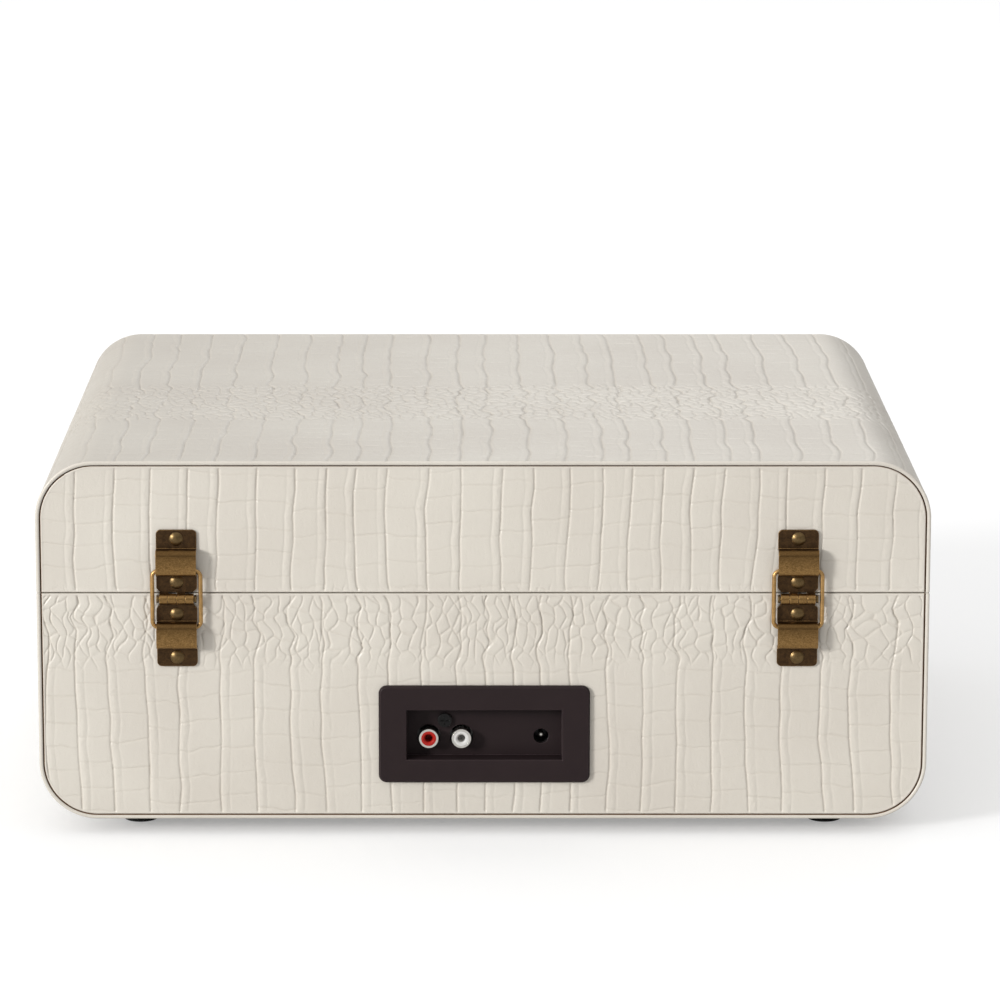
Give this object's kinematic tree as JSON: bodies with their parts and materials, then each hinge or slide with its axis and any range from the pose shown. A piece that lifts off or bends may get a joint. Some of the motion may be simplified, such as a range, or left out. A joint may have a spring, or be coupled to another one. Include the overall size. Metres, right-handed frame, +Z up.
{
  "type": "suitcase record player",
  "caption": "Portable record player in a latched suitcase: rounded ivory vinyl case on rubber feet, ring-stay brass hinges, rear sockets, carry handle, belt-drive deck and tonearm inside.",
  "frame": {"origin": "on the table plane, under the middle of the case", "axes": "+Z up, front with latches and handle towards -Y, hinges and sockets towards +Y, +X to the right seen from the front"},
  "size_m": [0.38, 0.3407, 0.1635],
  "materials": {
    "board": "raw medium-density fibreboard",
    "vinyl": "ivory scale-embossed vinyl",
    "lining": "short flocked lining",
    "old_brass": "antiqued, brushed on the high spots",
    "rubber": "matt",
    "black_plastic": "fine spark-eroded texture",
    "deck_plastic": "fine texture",
    "silver_plastic": "satin",
    "red_plastic": "gloss",
    "white_plastic": "gloss",
    "nickel": "nickel plate",
    "aluminium": "satin",
    "steel": "zinc plated",
    "felt": "felt",
    "grip": "stitched ivory leatherette over padding",
    "board_green": "solder mask",
    "cone_paper": "pressed paper cone"
  },
  "bodies": {
    "case": {"base_shell": "board", "base_front_panel": "board", "base_rear_panel": "board", "base_wrap_vinyl": "vinyl", "base_front_vinyl": "vinyl", "base_rear_vinyl": "vinyl", "feet": "rubber", "case_screws": "steel", "hinge_leaves_base": "old_brass", "hinge_pins": "old_brass", "base_rivets": "old_brass", "latch_plates": "old_brass", "handle_brackets": "old_brass", "io_bezel": "black_plastic", "jack_contacts": "nickel", "rca_insert_red": "red_plastic", "rca_insert_white": "white_plastic", "dc_jack": "black_plastic", "io_board": "board_green", "deck": "deck_plastic", "spindle": "nickel", "spindle_clip": "steel", "drive_belt": "rubber", "motor": "steel", "speaker_grilles": "deck_plastic", "speaker_drivers": "cone_paper", "tonearm_base": "black_plastic", "tonearm_rest": "black_plastic", "headphone_jack": "nickel", "main_board": "board_green"},
    "lid": {"lid_shell": "board", "lid_end_panels": "board", "lid_wrap_vinyl": "vinyl", "lid_end_vinyls": "vinyl", "lid_lining": "lining", "hinge_leaves_lid": "old_brass", "lid_rivets": "old_brass", "latch_keepers": "old_brass"},
    "left_ring": {"stay_ring_left": "old_brass"},
    "right_ring": {"stay_ring_right": "old_brass"},
    "left_hasp": {"latch_hasp_left": "old_brass"},
    "right_hasp": {"latch_hasp_right": "old_brass"},
    "handle": {"handle_grip": "grip"},
    "turntable": {"platter": "black_plastic", "slip_mat": "felt"},
    "pulley": {"motor_pulley": "aluminium"},
    "arm_yoke": {"tonearm_gimbal": "aluminium"},
    "arm": {"arm_pivot_block": "black_plastic", "tonearm_tube": "aluminium", "headshell": "black_plastic", "cartridge": "black_plastic", "stylus": "red_plastic"},
    "clip": {"rest_clip": "black_plastic"},
    "cue": {"cue_lever": "silver_plastic"},
    "lift": {"lift_bar": "nickel"},
    "speed": {"speed_lever": "silver_plastic"},
    "autostop": {"autostop_slider": "silver_plastic"},
    "volume": {"volume_knob": "silver_plastic"},
    "mode": {"mode_knob": "silver_plastic"},
    "adapter": {"adapter_45": "black_plastic"}
  },
  "joints": [
    {"name": "lid_open", "type": "hinge", "parent": "case", "child": "lid", "pos_m": [0, 0.16245, 0.10435], "axis": [-1, 0, 0], "range_deg": [0, 100]},
    {"name": "left_ring_swing", "type": "hinge", "parent": "case", "child": "left_ring", "pos_m": [-0.1338, 0.15807, 0.09162], "axis": [-1, 0, 0], "range_deg": [0, 54.5]},
    {"name": "right_ring_swing", "type": "hinge", "parent": "case", "child": "right_ring", "pos_m": [0.1302, 0.15807, 0.09162], "axis": [-1, 0, 0], "range_deg": [0, 54.5]},
    {"name": "left_hasp_swing", "type": "hinge", "parent": "case", "child": "left_hasp", "pos_m": [-0.132, -0.1633, 0.093], "axis": [1, 0, 0], "range_deg": [0, 150]},
    {"name": "right_hasp_swing", "type": "hinge", "parent": "case", "child": "right_hasp", "pos_m": [0.132, -0.1633, 0.093], "axis": [1, 0, 0], "range_deg": [0, 150]},
    {"name": "handle_swing", "type": "hinge", "parent": "case", "child": "handle", "pos_m": [0, -0.169, 0.064], "axis": [-1, 0, 0], "range_deg": [0, 120]},
    {"name": "platter_spin", "type": "hinge", "parent": "case", "child": "turntable", "pos_m": [-0.028, 0, 0.1], "axis": [0, 0, -1], "continuous": true},
    {"name": "pulley_spin", "type": "hinge", "parent": "case", "child": "pulley", "pos_m": [-0.0881, 0.0601, 0.1], "axis": [0, 0, -1], "continuous": true},
    {"name": "arm_yaw", "type": "hinge", "parent": "case", "child": "arm_yoke", "pos_m": [0.138, 0.098, 0.12], "axis": [0, 0, -1], "range_deg": [0, 48]},
    {"name": "arm_pitch", "type": "hinge", "parent": "arm_yoke", "child": "arm", "pos_m": [0.138, 0.098, 0.12], "axis": [-0.9976, -0.0698, 0], "range_deg": [0, 7]},
    {"name": "clip_swing", "type": "hinge", "parent": "case", "child": "clip", "pos_m": [0.15405, -0.05124, 0.119], "axis": [0.0698, -0.9976, 0], "range_deg": [0, 118]},
    {"name": "cue_swing", "type": "hinge", "parent": "case", "child": "cue", "pos_m": [0.16068, 0.08906, 0.1042], "axis": [-0.9976, -0.0698, 0], "range_deg": [0, 40]},
    {"name": "lift_rise", "type": "slide", "parent": "case", "child": "lift", "axis": [0, 0, 1], "range_m": [0, 0.004]},
    {"name": "speed_select", "type": "slide", "parent": "case", "child": "speed", "axis": [0, 1, 0], "range_m": [0, 0.012]},
    {"name": "autostop_switch", "type": "slide", "parent": "case", "child": "autostop", "axis": [0, 1, 0], "range_m": [0, 0.006]},
    {"name": "volume_turn", "type": "hinge", "parent": "case", "child": "volume", "pos_m": [0.104, -0.134, 0.105], "axis": [0, 0, -1], "range_deg": [0, 300]},
    {"name": "mode_turn", "type": "hinge", "parent": "case", "child": "mode", "pos_m": [0.08, -0.134, 0.105], "axis": [0, 0, -1], "range_deg": [0, 90]},
    {"name": "adapter_lift", "type": "slide", "parent": "case", "child": "adapter", "axis": [0, 0, 1], "range_m": [0, 0.03]}
  ],
  "couplings": [
    {"joint": "left_ring_swing", "follows": "lid_open", "ratio": 0.54462},
    {"joint": "right_ring_swing", "follows": "lid_open", "ratio": 0.54462},
    {"joint": "pulley_spin", "follows": "platter_spin", "ratio": 10},
    {"joint": "lift_rise", "follows": "cue_swing", "m_per_rad": 0.0057}
  ]
}
